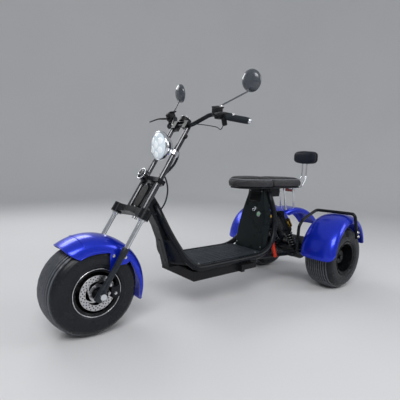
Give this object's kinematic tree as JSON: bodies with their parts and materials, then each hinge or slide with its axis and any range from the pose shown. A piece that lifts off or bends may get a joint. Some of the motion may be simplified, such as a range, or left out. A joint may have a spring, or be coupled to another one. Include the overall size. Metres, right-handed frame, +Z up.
{
  "type": "electric tricycle",
  "caption": "Step-through electric tricycle with a raked fork, one fat front tyre, two fat rear tyres, blue mudguards, long seat and backrest.",
  "frame": {"origin": "on the ground under the middle of the outline", "axes": "+X forward, +Y to the rider's left, +Z up"},
  "size_m": [2.1808, 1.0544, 1.3567],
  "materials": {
    "frame_black": "satin",
    "panel_dark": "gloss",
    "plastic_black": "matte",
    "mat_rubber": "matte",
    "vinyl_black": "satin",
    "bright_chrome": "polished",
    "gun_metal": "satin",
    "disc_steel": "brushed",
    "guard_blue": "gloss",
    "tyre_black": "matte",
    "gold": "satin",
    "red_anodised": "satin",
    "lamp_red": "gloss",
    "lens_clear": "clear",
    "mirror_silver": "polished"
  },
  "bodies": {
    "frame": {"main_frame": "frame_black", "neck_shield": "panel_dark", "floor_box": "plastic_black", "floor_mat": "mat_rubber", "seat_pillar": "panel_dark", "pillar_fittings": "bright_chrome", "seat_pan": "frame_black", "seat": "vinyl_black", "backrest_posts": "bright_chrome", "backrest_pad": "vinyl_black", "underseat_box": "plastic_black", "seat_struts": "bright_chrome", "rear_subframe": "frame_black", "rear_axle": "frame_black", "shock_dampers": "frame_black", "shock_springs": "frame_black", "shock_reservoirs": "gold", "centre_guard": "guard_blue", "rear_guard_left": "guard_blue", "rear_guard_right": "guard_blue", "guard_hoops": "frame_black", "foot_pegs": "plastic_black", "red_pegs": "red_anodised", "tail_lamp": "lamp_red"},
    "fork": {"fork_sliders": "frame_black", "fork_stanchions": "bright_chrome", "lower_clamp": "frame_black", "uprights": "gun_metal", "upper_yoke": "frame_black", "steering_stem": "bright_chrome", "handlebar": "frame_black", "bar_clamp": "frame_black", "grips": "mat_rubber", "brake_controls": "plastic_black", "mirrors": "panel_dark", "mirror_glass": "mirror_silver", "headlamp_bucket": "bright_chrome", "headlamp_glass": "lens_clear", "horn": "bright_chrome", "dial": "plastic_black", "front_guard": "guard_blue", "front_axle": "bright_chrome", "brake_caliper": "frame_black"},
    "front_wheel": {"front_tyre": "tyre_black", "front_rim": "frame_black", "brake_disc": "disc_steel"},
    "rear_left_wheel": {"rear_left_tyre": "tyre_black", "rear_left_rim": "frame_black"},
    "rear_right_wheel": {"rear_right_tyre": "tyre_black", "rear_right_rim": "frame_black"}
  },
  "joints": [
    {"name": "steering", "type": "hinge", "parent": "frame", "child": "fork", "pos_m": [0.54664, 0, 0.66703], "axis": [-0.5225, 0, 0.8526], "range_deg": [-35, 35]},
    {"name": "front_wheel_spin", "type": "hinge", "parent": "fork", "child": "front_wheel", "pos_m": [0.86289, 0, 0.2275], "axis": [0, 1, 0], "continuous": true},
    {"name": "rear_left_wheel_spin", "type": "hinge", "parent": "frame", "child": "rear_left_wheel", "pos_m": [-0.81711, 0.34, 0.2275], "axis": [0, 1, 0], "continuous": true},
    {"name": "rear_right_wheel_spin", "type": "hinge", "parent": "frame", "child": "rear_right_wheel", "pos_m": [-0.81711, -0.34, 0.2275], "axis": [0, 1, 0], "continuous": true}
  ]
}
